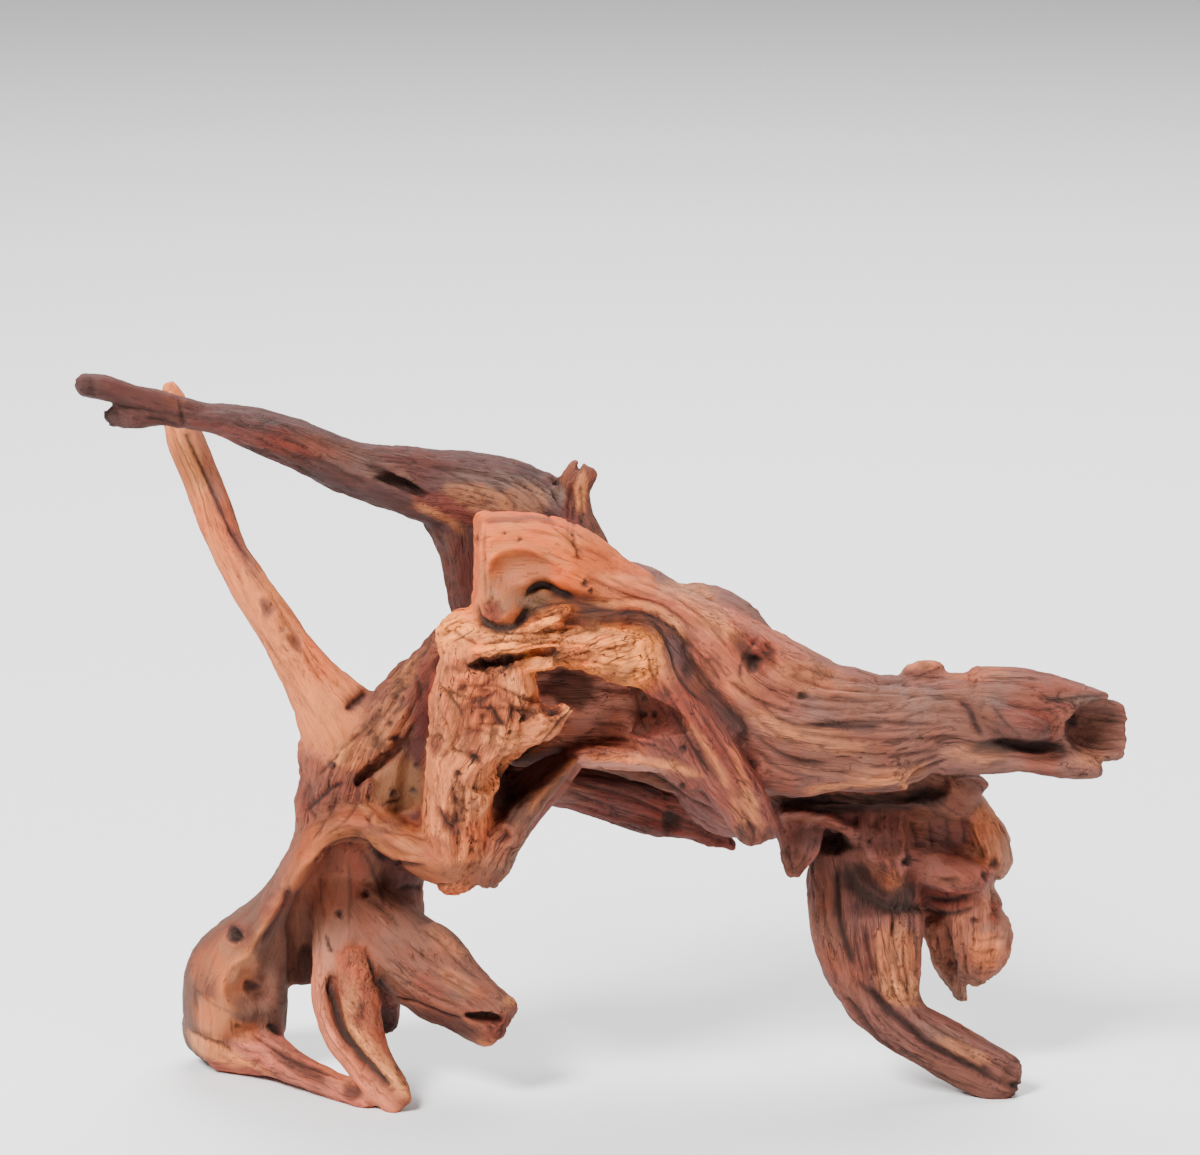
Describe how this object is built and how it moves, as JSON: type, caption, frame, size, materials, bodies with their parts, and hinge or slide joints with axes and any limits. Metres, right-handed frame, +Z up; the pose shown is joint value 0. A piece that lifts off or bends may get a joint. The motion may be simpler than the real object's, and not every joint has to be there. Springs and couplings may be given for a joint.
{
  "type": "driftwood",
  "caption": "Weathered driftwood: a hollowed, knotty stump with crossing branches above, arched roots below and a broken pipe-like trunk end.",
  "frame": {"origin": "middle of the bottom of the wood's box, on the surface that it stands on", "axes": "+X to the right along the trunk, towards its broken end; +Y to the back; +Z up"},
  "size_m": [0.4162, 0.1106, 0.3008],
  "materials": {
    "wood": "weathered, matt"
  },
  "bodies": {
    "root": {"driftwood": "wood"}
  },
  "joints": []
}
